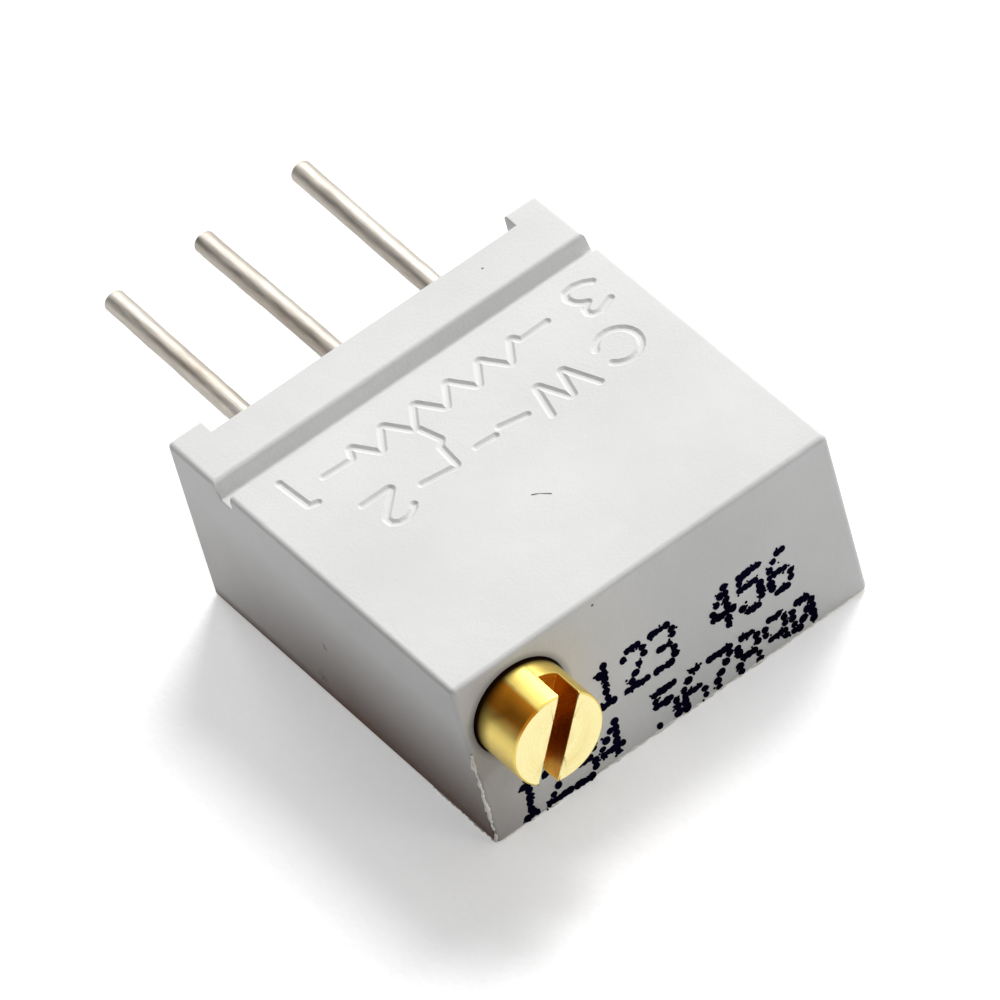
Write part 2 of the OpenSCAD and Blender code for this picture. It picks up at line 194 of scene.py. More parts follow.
def softenEdges(obj, width, steps, wanted):
    bm = openMesh(obj)
    weights = bm.edges.layers.float.new("bevel_weight_edge")
    for edge in bm.edges:
        if len(edge.link_faces) == 2 and edge.calc_face_angle() > math.radians(35):
            if wanted((edge.verts[0].co + edge.verts[1].co) / 2):
                edge[weights] = 1
    closeMesh(obj, bm)
    bevel = obj.modifiers.new("soften", "BEVEL")
    bevel.limit_method = "WEIGHT"
    bevel.width = width
    bevel.segments = steps
    bevel.use_clamp_overlap = False
    return bake(obj)


def shadeByAngle(obj, angle=32, weighted=True):
    obj.data.shade_smooth()
    obj.data.set_sharp_from_angle(angle=math.radians(angle))
    if weighted:
        step = obj.modifiers.new("weighted", "WEIGHTED_NORMAL")
        step.keep_sharp = True
        bake(obj)
    return obj


def chainObject(name, chains, girths=None):
    bm = bmesh.new()
    layer = bm.verts.layers.float.new("girth") if girths else None
    for number, chain in enumerate(chains):
        verts = [bm.verts.new(point) for point in chain]
        if girths:
            for v, girth in zip(verts, girths[number]):
                v[layer] = girth
        for a, b in zip(verts, verts[1:]):
            bm.edges.new((a, b))
    return meshObject(name, bm)


# ---- node trees ----

def addNode(tree, kind, inputs=None, **settings):
    node = tree.nodes.new(kind)
    for key, value in settings.items():
        setattr(node, key, value)
    for key, value in (inputs or {}).items():
        if isinstance(value, bpy.types.NodeSocket):
            tree.links.new(value, node.inputs[key])
        else:
            node.inputs[key].default_value = value
    return node


def nodeOut(tree, kind, inputs=None, **settings):
    return addNode(tree, kind, inputs, **settings).outputs[0]


def splitNode(tree, vector):
    return addNode(tree, "ShaderNodeSeparateXYZ", {"Vector": vector}).outputs


def geoNode(tree, kind, inputs=None, **settings):
    return nodeOut(tree, "GeometryNode" + kind, inputs, **settings)


def calc(tree, operation, a, b=0.0, c=0.0):
    return nodeOut(tree, "ShaderNodeMath", {0: a, 1: b, 2: c}, operation=operation)


def times(tree, a, b):
    return calc(tree, "MULTIPLY", a, b)


def timesPlus(tree, a, b, more):
    return calc(tree, "MULTIPLY_ADD", a, b, more)


# a new group of nodes, from the names and kinds of its outputs and inputs
def nodeGroup(name, kind, outputs, inputs):
    tree = bpy.data.node_groups.new(name, kind)
    for way, sockets in (("OUTPUT", outputs), ("INPUT", inputs)):
        for key, value in sockets.items():
            tree.interface.new_socket(key, in_out=way, socket_type="NodeSocket" + value)
    return tree, addNode(tree, "NodeGroupInput").outputs


def geometryTree(name, sizes):
    kinds = {int: "Int", float: "Float", bpy.types.Object: "Object", bpy.types.Material: "Material"}
    mesh = {"Geometry": "Geometry"}
    inputs = {key: kinds[type(value)] for key, value in sizes.items()}
    return nodeGroup(name, "GeometryNodeTree", mesh, {**mesh, **inputs})


# inputs named after a piece's own settings
def treeSizes(look, *keys, **more):
    return dict({key.capitalize(): look[key] for key in keys}, **more)


def endTree(tree, geometry, given):
    real = geoNode(tree, "RealizeInstances", {"Geometry": geometry})
    done = geoNode(tree, "SetMaterial", {"Geometry": real, "Material": given["Finish"]})
    addNode(tree, "NodeGroupOutput", {"Geometry": done})
    return tree


def growMesh(obj, tree, sizes):
    step = obj.modifiers.new(tree.name, "NODES")
    step.node_group = tree
    for item in tree.interface.items_tree:
        if item.in_out == "INPUT" and item.name in sizes:
            step[item.identifier] = sizes[item.name]
    return bake(obj)


def noise(tree, dimensions="3D", **inputs):
    return addNode(tree, "ShaderNodeTexNoise", inputs, noise_dimensions=dimensions).outputs


def scaled(tree, vector, factor):
    return nodeOut(tree, "ShaderNodeVectorMath", {0: vector, "Scale": factor}, operation="SCALE")


def lengthOf(tree, vector):
    return addNode(tree, "ShaderNodeVectorMath", {0: vector}, operation="LENGTH").outputs["Value"]


def paint(red, green, blue):
    parts = [c / 255 for c in (red, green, blue)]
    return tuple(c / 12.92 if c <= 0.04045 else ((c + 0.055) / 1.055) ** 2.4 for c in parts) + (1,)


# ---- shared surface effects ----

def effectGroup(name, inputs, outputs):
    inputs, outputs = [dict.fromkeys(keys, "Float") for keys in (inputs, outputs)]
    return nodeGroup(name, "ShaderNodeTree", outputs, {"Vector": "Vector", **inputs})


def useEffect(tree, group, **inputs):
    return addNode(tree, "ShaderNodeGroup", inputs, node_tree=group).outputs


def makeGrain():
    tree, given = effectGroup("surfaceGrain", ("Fine", "Broad"), ("Grain", "Cloud"))
    fine = noise(tree, Vector=given["Vector"], Scale=given["Fine"], Detail=3.0)["Fac"]
    broad = noise(tree, Vector=given["Vector"], Scale=given["Broad"], Detail=4.0)["Fac"]
    addNode(tree, "NodeGroupOutput", {"Grain": fine, "Cloud": broad})
    return tree


# a share of the cells hold a speck, each of its own size
def makeSpecks():
    tree, given = effectGroup("strewnSpecks", ("Scale", "Size", "Share"), ("Mask",))
    cells = {key: given[key] for key in ("Vector", "Scale")}
    cells = addNode(tree, "ShaderNodeTexVoronoi", cells).outputs
    pick = addNode(tree, "ShaderNodeSeparateColor", {"Color": cells["Color"]}).outputs
    size = times(tree, given["Size"], calc(tree, "ADD", pick[1], 0.3))
    small = calc(tree, "LESS_THAN", cells["Distance"], size)
    chosen = calc(tree, "LESS_THAN", pick[0], given["Share"])
    addNode(tree, "NodeGroupOutput", {"Mask": times(tree, small, chosen)})
    return tree


# rings on the face and lines round the side, as a lathe's tool leaves them
def makeTurning():
    tree, given = effectGroup("latheMarks", ("Pitch",), ("Height", "Streak"))
    x, y, z = splitNode(tree, given["Vector"])
    across = nodeOut(tree, "ShaderNodeCombineXYZ", {"X": x, "Y": z, "Z": 0.0})
    wobble = noise(tree, Vector=given["Vector"], Scale=900.0, Detail=2.0)["Fac"]
    drift = timesPlus(tree, wobble, 0.00003, calc(tree, "ADD", y, lengthOf(tree, across)))
    lineAt = calc(tree, "DIVIDE", drift, given["Pitch"])
    line = noise(tree, "1D", W=lineAt, Scale=1.0, Detail=3.0)["Fac"]
    band = noise(tree, "1D", W=times(tree, lineAt, 0.12), Scale=1.0)["Fac"]
    addNode(tree, "NodeGroupOutput", {"Height": line, "Streak": band})
    return tree


grain = makeGrain()
specks = makeSpecks()
turning = makeTurning()


# ---- materials ----

def startMaterial(name, **sockets):
    material = bpy.data.materials.new(name)
    material.use_nodes = True
    tree = material.node_tree
    tree.nodes.clear()
    shader = addNode(tree, "ShaderNodeBsdfPrincipled")
    for key, value in sockets.items():
        shader.inputs[key.replace("_", " ")].default_value = value
    addNode(tree, "ShaderNodeOutputMaterial", {"Surface": shader.outputs[0]})
    place = addNode(tree, "ShaderNodeTexCoord").outputs["Object"]
    return material, tree, shader, place


def blend(tree, factor, first, second):
    return addNode(tree, "ShaderNodeMix", {0: factor, 6: first, 7: second}, data_type="RGBA").outputs[2]


def ramp(tree, value, low, high, toLow=0.0, toHigh=1.0):
    return nodeOut(tree, "ShaderNodeMapRange", {
        "Value": value, "From Min": low, "From Max": high, "To Min": toLow, "To Max": toHigh})


def setBump(tree, shader, height, distance):
    bump = nodeOut(tree, "ShaderNodeBump", {"Height": height, "Distance": distance})
    tree.links.new(bump, shader.inputs["Normal"])


def finishSurface(tree, shader, tone, rough, height, distance):
    tree.links.new(tone, shader.inputs["Base Color"])
    tree.links.new(rough, shader.inputs["Roughness"])
    setBump(tree, shader, height, distance)


def plainFinish(name, colour, shade, rough, metal=0.0, depth=0.000004, **sockets):
    material, tree, shader, place = startMaterial(name, Metallic=metal, **sockets)
    marks = useEffect(tree, grain, Vector=place, Fine=15000.0, Broad=500.0)
    dots = useEffect(tree, specks, Vector=place, Scale=2600.0, Size=0.09, Share=0.25)["Mask"]
    tone = blend(tree, ramp(tree, marks["Cloud"], 0.3, 0.7), paint(*colour), paint(*shade))
    tone = blend(tree, times(tree, dots, 0.4), tone, paint(*shade))
    spread = 0.08
    roughness = ramp(tree, marks["Cloud"], 0.2, 0.8, rough - spread, rough + spread)
    finishSurface(tree, shader, tone, roughness, marks["Grain"], depth)
    return material


def softSpot(tree, place, centre, size):
    shifted = nodeOut(tree, "ShaderNodeMapping", {
        "Vector": place, "Location": [-c / s for c, s in zip(centre, size)],
        "Scale": [1 / (s * mm) for s in size]})
    return ramp(tree, lengthOf(tree, shifted), 0.25, 1.0, 1.0, 0.0)


# the place centred on the screw's axis, then the way along the axis, the distance from it,
# and the turn from the top towards the left side
def aroundScrew(tree, place):
    centred = nodeOut(tree, "ShaderNodeMapping", {
        "Vector": place, "Location": [-c * mm for c in (screwAxis.x, 0, screwAxis.z)]})
    x, y, z = splitNode(tree, centred)
    square = timesPlus(tree, x, x, times(tree, z, z))
    turn = calc(tree, "ARCTAN2", times(tree, x, -1.0), z)
    return centred, y, calc(tree, "SQRT", square), turn


mould = {
    "colour": paint(222, 222, 221),
    "shade": paint(213, 213, 212),
    "speck": paint(110, 104, 98),
    "smudge": paint(132, 128, 128),
    # dark colour for painted shade in the gap round the screw's head
    "paintedDark": paint(46, 33, 22),
    # warm colours for painted contact shade at the foot of the walls: the left wall's, then the others'
    "footShade": paint(102, 70, 52),
    "paleFootShade": paint(176, 156, 118),
    # colour of painted shade on the left wall and on the corner by the screw
    "paintedWallShade": paint(126, 110, 101),
    # centre and half size of each mark on the left side, in millimetres
    "scuffs": [((-4.77, 0.60, 1.90), (0.4, 0.11, 0.17)), ((-4.77, 1.12, 0.56), (0.4, 0.20, 0.22))],
    # painted shade in the gap round the screw's head: from none to full, as distance from its axis and
    # depth behind the face
    "mouthRadii": (1.3, 1.145),
    "mouthStart": (-0.01, 0.1),
    "mouthEnd": (0.8, 0.9),
    "sideSkin": 0.06,
    # painted shade from none to full, as height and distance along the left wall, then on the corner by the
    # screw
    "wallShadeHeights": (3.4, 0.3),
    "wallShadeAlong": (0.0, 4.5),
    "cornerPlaces": (-3.4, -4.5),
    "cornerHeights": (3.6, 2.0),
    # how far the painted contact shade climbs the walls, and how much more on the left one
    "footShadeReach": 0.12,
    "footShadeMore": 0.3,
}


# a ramp between two places given in millimetres
def rampMm(tree, value, places, toLow=0.0, toHigh=1.0):
    return ramp(tree, value, places[0] * mm, places[1] * mm, toLow, toHigh)


def mouldedPlastic():
    material, tree, shader, place = startMaterial("mouldedPlastic", Specular_IOR_Level=0.12)
    marks = useEffect(tree, grain, Vector=place, Fine=14000.0, Broad=260.0)
    tone = blend(tree, ramp(tree, marks["Cloud"], 0.3, 0.7), mould["colour"], mould["shade"])
    dots = useEffect(tree, specks, Vector=place, Scale=1500.0, Size=0.05, Share=0.10)["Mask"]
    tone = blend(tree, dots, tone, mould["speck"])
    for centre, size in mould["scuffs"]:
        ragged = times(tree, softSpot(tree, place, centre, size), ramp(tree, marks["Grain"], 0.3, 0.6))
        tone = blend(tree, ragged, tone, mould["smudge"])
    # painted shade in the gap round the screw's head
    _, axial, radius, _ = aroundScrew(tree, place)
    starts, ends = [[frontY + step for step in mould[key]] for key in ("mouthStart", "mouthEnd")]
    inMouth = times(tree, rampMm(tree, radius, mould["mouthRadii"]), rampMm(tree, axial, starts, 0.35, 1.0))
    inMouth = times(tree, inMouth, rampMm(tree, axial, ends, 1.0, 0.0))
    tone = blend(tree, inMouth, tone, mould["paintedDark"])
    # painted shade on the left wall's lower half and on the corner by the screw
    x, y, z = splitNode(tree, place)
    onLeft = calc(tree, "LESS_THAN", x, (caseLow.x + mould["sideSkin"]) * mm)
    onWall = times(tree, rampMm(tree, z, mould["wallShadeHeights"]),
                   rampMm(tree, y, mould["wallShadeAlong"], 1.0, 0.3))
    onCorner = times(tree, rampMm(tree, x, mould["cornerPlaces"]),
                     rampMm(tree, z, mould["cornerHeights"], 0.0, 0.4))
    wallShade = nodeOut(tree, "ShaderNodeMix", {0: onLeft, 2: onCorner, 3: onWall})
    tone = blend(tree, wallShade, tone, mould["paintedWallShade"])
    # painted contact shade along the foot of the walls, warm, darker on the left one
    footShade = blend(tree, onLeft, mould["paleFootShade"], mould["footShade"])
    reach = timesPlus(tree, onLeft, mould["footShadeMore"] * mm, mould["footShadeReach"] * mm)
    atFoot = calc(tree, "MAXIMUM", calc(tree, "SUBTRACT", 1.0, calc(tree, "DIVIDE", z, reach)), 0.0)
    atFoot = times(tree, atFoot, ramp(tree, marks["Cloud"], 0.2, 0.6, 0.7, 1.3))
    tone = blend(tree, calc(tree, "MINIMUM", atFoot, 1.0), tone, footShade)
    waves = noise(tree, Vector=place, Scale=1800.0, Detail=2.0)["Fac"]
    height = timesPlus(tree, waves, 2.0, marks["Grain"])
    finishSurface(tree, shader, tone, ramp(tree, marks["Grain"], 0.3, 0.7, 0.5, 0.66), height, 0.000006)
    return material


brass = {
    # face and side are lit and shaded copies of one brass: the paler face colour is a painted highlight
    "face": paint(240, 228, 168),
    "side": paint(222, 198, 108),
    "worn": paint(214, 182, 92),
    # colour of a painted reflection, a stripe along the head's side
    "paintedReflection": paint(176, 112, 26),
    # colours of painted shade inside the slot
    "slot": paint(214, 158, 58),
    "deeperSlotShade": paint(172, 118, 42),
    # dark colour for the painted shade where the head enters the body and for the painted dark line beside
    # the reflection stripe
    "paintedDark": paint(38, 20, 6),
    # the head's side lies beyond one radius and the slot's walls within the other
    "sideFrom": 1.05,
    "slotWithin": 1.06,
    "behindFace": 0.03,
    # turns where the painted reflection stripe and its painted dark line begin and end
    "reflectionStripe": ((0.2, 0.27), (0.7, 1.0)),
    "reflectionEdgeLine": ((0.17, 0.21), (0.23, 0.28)),
    # painted shade on the head where it enters the body: its reach from the body at two turns, and how near
    # the body it is full
    "headShadeTurns": (-0.2, 0.6),
    "headShadeReach": (0.22, 0.5),
    "headShadeFull": 0.06,
}


def turnedBrass():
    material, tree, shader, place = startMaterial("turnedBrass", Metallic=1.0)
    centred, axial, radius, turn = aroundScrew(tree, place)
    lines = useEffect(tree, turning, Vector=centred, Pitch=0.00003)
    marks = useEffect(tree, grain, Vector=place, Fine=16000.0, Broad=900.0)
    onSide = calc(tree, "GREATER_THAN", radius, brass["sideFrom"] * mm)
    worn = times(tree, ramp(tree, marks["Cloud"], 0.4, 0.7), ramp(tree, lines["Streak"], 0.3, 0.7))
    worn = times(tree, worn, timesPlus(tree, onSide, 0.6, 0.3))
    # the face takes the paler, painted-highlight copy of the brass and the side the darker one
    tone = blend(tree, worn, blend(tree, onSide, brass["face"], brass["side"]), brass["worn"])

    def alongSide(key, top):
        begin, end = brass[key]
        band = times(tree, ramp(tree, turn, *begin), ramp(tree, turn, *end, top, 0.0))
        return times(tree, band, onSide)

    # a painted reflection: a stripe along the head, with a dark line beside it
    tone = blend(tree, alongSide("reflectionStripe", 1.0), tone, brass["paintedReflection"])
    reflectionEdgeLine = times(tree, alongSide("reflectionEdgeLine", 0.6), ramp(tree, marks["Cloud"], 0.35, 0.6))
    tone = blend(tree, reflectionEdgeLine, tone, brass["paintedDark"])
    # painted shade inside the slot, darker and mottled
    behindFace = calc(tree, "GREATER_THAN", axial, (screwLow.y + brass["behindFace"]) * mm)
    inSlot = times(tree, behindFace, calc(tree, "LESS_THAN", radius, brass["slotWithin"] * mm))
    slotTone = blend(tree, ramp(tree, marks["Cloud"], 0.45, 0.6), brass["slot"], brass["deeperSlotShade"])
    tone = blend(tree, inSlot, tone, slotTone)
    # painted shade where the head enters the body
    reach = [(frontY - r) * mm for r in brass["headShadeReach"]]
    headShadeFrom = ramp(tree, turn, *brass["headShadeTurns"], *reach)
    headBaseShade = times(tree, ramp(tree, axial, headShadeFrom, (frontY - brass["headShadeFull"]) * mm), onSide)
    headBaseShade = calc(tree, "POWER", headBaseShade, 1.3)
    tone = blend(tree, headBaseShade, tone, brass["paintedDark"])
    rough = timesPlus(tree, onSide, 0.1, ramp(tree, lines["Height"], 0.3, 0.7, 0.24, 0.34))
    rough = timesPlus(tree, headBaseShade, 0.3, rough)
    height = timesPlus(tree, marks["Grain"], 0.6, lines["Height"])
    finishSurface(tree, shader, tone, rough, height, 0.0000007)
    return material


def tinnedWire():
    material, tree, shader, place = startMaterial("tinnedWire", Metallic=1.0)
    drawn = nodeOut(tree, "ShaderNodeMapping", {"Vector": place, "Scale": (1.0, 0.12, 1.0)})
    marks = useEffect(tree, grain, Vector=drawn, Fine=16000.0, Broad=2500.0)
    tone = blend(tree, ramp(tree, marks["Cloud"], 0.35, 0.7), paint(184, 179, 171), paint(158, 149, 138))
    rough = ramp(tree, marks["Grain"], 0.3, 0.7, 0.42, 0.6)
    height = calc(tree, "ADD", marks["Grain"], marks["Cloud"])
    finishSurface(tree, shader, tone, rough, height, 0.000005)
    return material


# material name, colour, shade, roughness, how metallic it is and its bump's depth
plainLooks = {
    "seal_rubber": ("sealRubber", (38, 38, 40), (24, 24, 26), 0.45),
    "clip_steel": ("clipSteel", (190, 192, 196), (158, 160, 165), 0.35, 1.0),
    "rotor_plastic": ("rotorPlastic", (236, 230, 212), (222, 214, 193), 0.5),
    "spring_alloy": ("springAlloy", (214, 170, 104), (186, 138, 76), 0.3, 1.0),
    "contact_wire": ("contactWire", (226, 224, 215), (196, 192, 182), 0.25, 1.0),
    "alumina": ("alumina", (240, 239, 232), (228, 226, 218), 0.6),
    "cermet": ("cermetFilm", (46, 47, 52), (32, 32, 36), 0.4),
    "conductor": ("conductorFilm", (196, 196, 188), (168, 167, 158), 0.35, 0.9),
    "solder": ("solder", (196, 198, 200), (160, 162, 166), 0.3, 1.0),
    "baffle_plastic": ("bafflePlastic", (212, 206, 190), (196, 190, 172), 0.55),
    "epoxy": ("epoxy", (206, 202, 190), (188, 183, 168), 0.35, 0.0, 0.000012),
}
finishes = {"moulded_housing": mouldedPlastic(), "brass": turnedBrass(), "tinned_wire": tinnedWire()}
finishes.update({slot: plainFinish(*look) for slot, look in plainLooks.items()})
inkFinish = plainFinish("markingInk", (12, 10, 34), (6, 5, 16), 0.8, Specular_IOR_Level=0.0)
# the flash is painted paler than the body: a painted highlight where light catches it
flashHighlightFinish = plainFinish("thinFlashHighlight", (250, 248, 243), (236, 231, 220), 0.45)
lintFinish = plainFinish("lint", (96, 92, 92), (70, 66, 66), 0.8)
print("finishes ready:", len(finishes) + 1)


def finishPiece(obj, body, slot, *replaced, material=None):
    obj.data.transform(Matrix.Scale(mm, 4))
    obj.data.materials.clear()
    obj.data.materials.append(material or finishes[slot])
    obj.data.polygons.foreach_set("material_index", [0] * len(obj.data.polygons))
    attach(obj, body)
    if replaced:
        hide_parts(*replaced)
    return obj


# ---- moulded body ----

body = {
    "edge": 0.13,
    "softEdge": 0.03,
    "sideWall": 0.55,
    "ceilingWall": 0.5,
    "footWidth": 0.85,
    "footHeight": 0.45,
    "grooveFromPins": 1.22,
    "grooveWidth": 0.58,
    "grooveDepth": 0.38,
    "grooveFloor": 0.4,
    "grooveLean": 22,
    "grooveCorner": 0.05,
    "grooveLip": 0.13,
    "mouthRadius": 1.128,
    "mouthDepth": 0.55,
    "mouthFlare": 0.024,
    "boreRadius": 0.96,
    "frontWall": 1.36,
    "railWidth": 0.6,
    "bossRadius": 0.6,
    "bossPast": 0.05,
    # the rib that stops the rotor: its radii, underside, middle and half angle
    "stopRadii": (2.2, 2.66),
    "stopZ": 3.71,
    "stopTurn": (90, 17.5),
    # edges left sharp round the mouth, and how far behind the faces an edge is still softened
    "aroundMouth": 1.45,
    "softBehind": 0.1,
    "softBehindPins": 0.3,
    "baffleGap": 0.02,
    "wallBite": 0.1,
}
pinFaceY = caseHigh.y - body["footHeight"]
innerX = caseHigh.x - body["sideWall"]
innerFrontY = frontY + body["frontWall"]
ceilingZ = topZ - body["ceilingWall"]
sealCeilingZ = topZ - body["grooveDepth"] - body["grooveFloor"]
floorZ = sealLow.z


def grooveTool():
    nearY = pinFaceY - body["grooveFromPins"]
    farY = nearY - body["grooveWidth"]
    bottomZ = topZ - body["grooveDepth"]
    lean, r, lip = body["grooveLean"], body["grooveCorner"], body["grooveLip"]
    slope = math.radians(lean)
    footY = nearY - math.tan(slope) * body["grooveDepth"]
    lipY = nearY + lip * (1 / math.cos(slope) - math.tan(slope))
    outline = [(farY - r, topZ + 1)]
    outline += arcPoints((farY - r, topZ - r), r, 90, 0, 5)
    outline += arcPoints((farY + r, bottomZ + r), r, 180, 270, 5)
    outline += arcPoints((footY - r, bottomZ + r), r, 270, 360 - lean, 5)
    outline += arcPoints((lipY, topZ - lip), lip, 180 - lean, 90, 6) + [(lipY, topZ + 1)]
    outline = [(caseLow.x - 1, y, z) for y, z in outline]
    return prismObject("grooveTool", outline, (caseHigh.x - caseLow.x + 2, 0, 0))


def screwHoleTool():
    wide, flare, bore = body["mouthRadius"], body["mouthFlare"], body["boreRadius"]
    deepY = frontY + body["mouthDepth"]
    outline = [(0, frontY - 1), (wide + flare, frontY - 1)]
    outline += arcPoints((wide + flare, frontY + flare), flare, 270, 180, 6)
    outline += [(wide, deepY), (bore, deepY), (bore, baffleLow.y), (0, baffleLow.y)]
    return latheObject("screwHoleTool", outline, screwAxis)


def stopRib(highZ, steps=16):
    inner, outer = body["stopRadii"]
    middle, half = body["stopTurn"]
    outline = arcPoints(rotorAxis.xy, outer, middle - half, middle + half, steps)
    outline += arcPoints(rotorAxis.xy, inner, middle + half, middle - half, steps)
    outline = [(x, y, body["stopZ"]) for x, y in outline]
    return prismObject("stopRib", outline, (0, 0, highZ - body["stopZ"]))


# the edges that get softened: not those round the screw's mouth or where the groove's lip is round already
def isOutside(point):
    clearOfMouth = math.hypot(point.x - screwAxis.x, point.z - screwAxis.z) > body["aroundMouth"]
    fromLip = point.y - (pinFaceY - body["grooveFromPins"])
    onLip = abs(fromLip) < body["grooveLip"] and point.z > topZ - body["grooveLip"]
    onTop = point.z > ceilingZ + body["softBehind"] and not onLip
    onFront = point.y < frontY + body["softBehind"] and clearOfMouth
    return onFront or onTop or point.y > sealHigh.y - body["softBehindPins"]


def makeHousing():
    housing = blockObject("mouldedBody", caseLow, caseHigh, body["edge"], 5)
    halfGap = caseHigh.x - body["footWidth"]
    past = 0.5
    innerCorner = (-innerX, innerFrontY, floorZ)
    joinInto(housing, [
        blockObject("footGapTool", (-halfGap, pinFaceY, -past), (halfGap, caseHigh.y + past, topZ + past)),
        grooveTool(),
        screwHoleTool(),
        blockObject("driveSpaceTool", innerCorner, (innerX, baffleLow.y - body["baffleGap"], ceilingZ)),
        blockObject("sealSpaceTool", innerCorner, (innerX, pinFaceY + past, sealCeilingZ)),
    ], "DIFFERENCE")
    bite = body["wallBite"]
    across, lowZ = body["railWidth"] + bite, floorZ - bite
    rails = [blockObject("rail", (x, innerFrontY, lowZ), (x + across, plateHigh.y, plateLow.z))
             for x in (-innerX - bite, innerX - body["railWidth"])]
    rotorLow, _ = boxMm("worm_wheel")
    lowZ, highZ, r = rotorLow.z - body["bossPast"], ceilingZ + bite, body["bossRadius"]
    boss = latheObject("boss", [(0, lowZ), (r, lowZ), (r, highZ), (0, highZ)], rotorAxis, 64, alongY=False)
    joinInto(housing, rails + [boss, stopRib(highZ)], "UNION")
    softenEdges(housing, body["softEdge"], 3, isOutside)
    return housing


# ---- sunk marks on the broad face: their up is towards the screw, and they read towards the left side ----

marks = {
    "width": 0.2,
    "wall": 0.065,
    "depth": 0.052,
    "corner": 0.05,
    # the walls run on this share of their slope above the face
    "above": 0.3,
}


def markChains():
    arc = [(3.33 + 0.47 * x, 0.42 + 0.5 * y) for x, y in arcPoints((0, 0), 1, 152, -143, 18)]
    # the resistor is a zigzag between two leads, with its wiper
    crests = [(-1.81 + 0.413 * k, 2.30 if k % 2 else 1.62) for k in range(10)]
    chains = {
        "digit1": [(-3.56, 1.50), (-3.75, 1.56), (-3.81, 2.53)],
        "digit2": [(-2.22, -0.02), (-2.30, -0.12), (-2.50, -0.23), (-2.70, -0.22), (-2.85, -0.10),
                   (-2.85, 0.09), (-2.22, 0.74), (-2.98, 0.74)],
        "digit3": [(4.03, 1.63), (3.90, 1.58), (3.69, 1.49), (3.52, 1.52), (3.44, 1.64), (3.48, 1.79),
                   (3.64, 1.89)],
        "digit3Bowl": [(3.64, 1.89), (3.53, 1.96), (3.42, 2.09), (3.37, 2.29), (3.46, 2.45), (3.67, 2.48),
                       (3.88, 2.42), (4.05, 2.30)],
        "letterC": arc,
        "letterW": [(2.46, -0.13), (2.09, 0.86), (1.84, -0.13), (1.46, 0.87), (1.22, -0.14)],
        "arrowShaft": [(0.87, 0.26), (0.26, 0.41)],
        "arrowTip": [(0.06, 0.27), (-0.39, 0.31)],
        "zigzag": [(-3.06, 1.99), (-2.36, 1.95), (-2.21, 2.30)] + crests + [(2.04, 2.06), (2.72, 2.08)],
        "wiper": [(-0.91, 1.60), (-0.76, 1.03), (-0.90, 0.89), (-0.96, 0.17), (-1.78, 0.31)],
    }
    return [[(x, y, topZ) for x, y in chain] for chain in chains.values()]


# half of a stroke's cross-section, from its rim to its rounded-off floor
def strokeHalf():
    half, wall, depth, above = marks["width"] / 2, marks["wall"], marks["depth"], marks["above"]
    return [(half + above * wall, above * depth), (half - 0.8 * wall, -0.8 * depth),
            (half - wall, -0.96 * depth), (half - 1.2 * wall, -depth)]


def strokeTree(sizes):
    tree, given = geometryTree("sunkStroke", sizes)
    profile, end = [addNode(tree, "GeometryNodeObjectInfo", {"Object": given[k]}).outputs["Geometry"]
                    for k in ("Profile", "End")]
    profile = geoNode(tree, "MergeByDistance", {"Geometry": profile, "Distance": 0.0001})
    profile, line = [geoNode(tree, "MeshToCurve", {"Mesh": mesh})
                     for mesh in (profile, given["Geometry"])]
    line = geoNode(tree, "FilletCurve", {
        "Curve": line, "Count": 4, "Radius": given["Corner"], "Limit Radius": True}, mode="POLY")
    line = geoNode(tree, "SetCurveNormal", {"Curve": line}, mode="Z_UP")
    run = geoNode(tree, "CurveToMesh", {"Curve": line, "Profile Curve": profile, "Fill Caps": True})
    tips = geoNode(tree, "CurveEndpointSelection")
    ends = geoNode(tree, "InstanceOnPoints", {"Points": line, "Selection": tips, "Instance": end})
    both = addNode(tree, "GeometryNodeJoinGeometry")
    for part in (run, ends):
        tree.links.new(part, both.inputs[0])
    return endTree(tree, both.outputs[0], given)


def strokeTool():
    half = strokeHalf()
    loop = [(across, -up, 0) for across, up in half] + [(-across, -up, 0) for across, up in reversed(half)]
    profile = chainObject("strokeProfile", [loop + loop[:1]])
    spun = [(0, half[0][1])] + half + [(0, half[-1][1])]
    end = latheObject("strokeEnd", spun, Vector((0, 0, 0)), 20, alongY=False)
    sizes = treeSizes(marks, "corner", Profile=profile, End=end, Finish=finishes["moulded_housing"])
    tool = growMesh(chainObject("strokeTool", markChains()), strokeTree(sizes), sizes)
    for helper in (profile, end):
        bpy.data.objects.remove(helper)
    bm = openMesh(tool)
    bmesh.ops.remove_doubles(bm, verts=bm.verts, dist=1e-5)
    return closeMesh(tool, bm)


housing = makeHousing()
print("body:", len(housing.data.polygons), "faces before its marks")
joinInto(housing, [strokeTool()], "DIFFERENCE", selfOverlap=True)
shadeByAngle(housing)
finishPiece(housing, "case", "moulded_housing", "housing")
print("body:", len(housing.data.polygons), "faces")


# ---- adjustment screw ----

screwSizes = {
    "headRadius": 1.095,
    "headRim": 0.055,
    "seat": 0.51,
    "shaftRadius": 0.92,
    # the seal's groove and the clip's neck: radius, start and end behind the body's face
    "grooves": [(0.59, 0.739, 1.171), (0.5, 1.34, 1.58)],
    # the thread: where it starts, its bar's length and radius, how far the bar winds out, and its grid
    "wormStart": 1.78,
    "length": 5.2,
    "radius": 0.69,
    "offset": 0.2,
    "lead": 0.60737,
    "around": 25,
    "along": 260,
    "pivotRadius": 0.45,
    "slotWidth": 0.5,
    "slotDepth": 0.76,
    "slotTurn": 28,
    "slotEdge": 0.018,
}


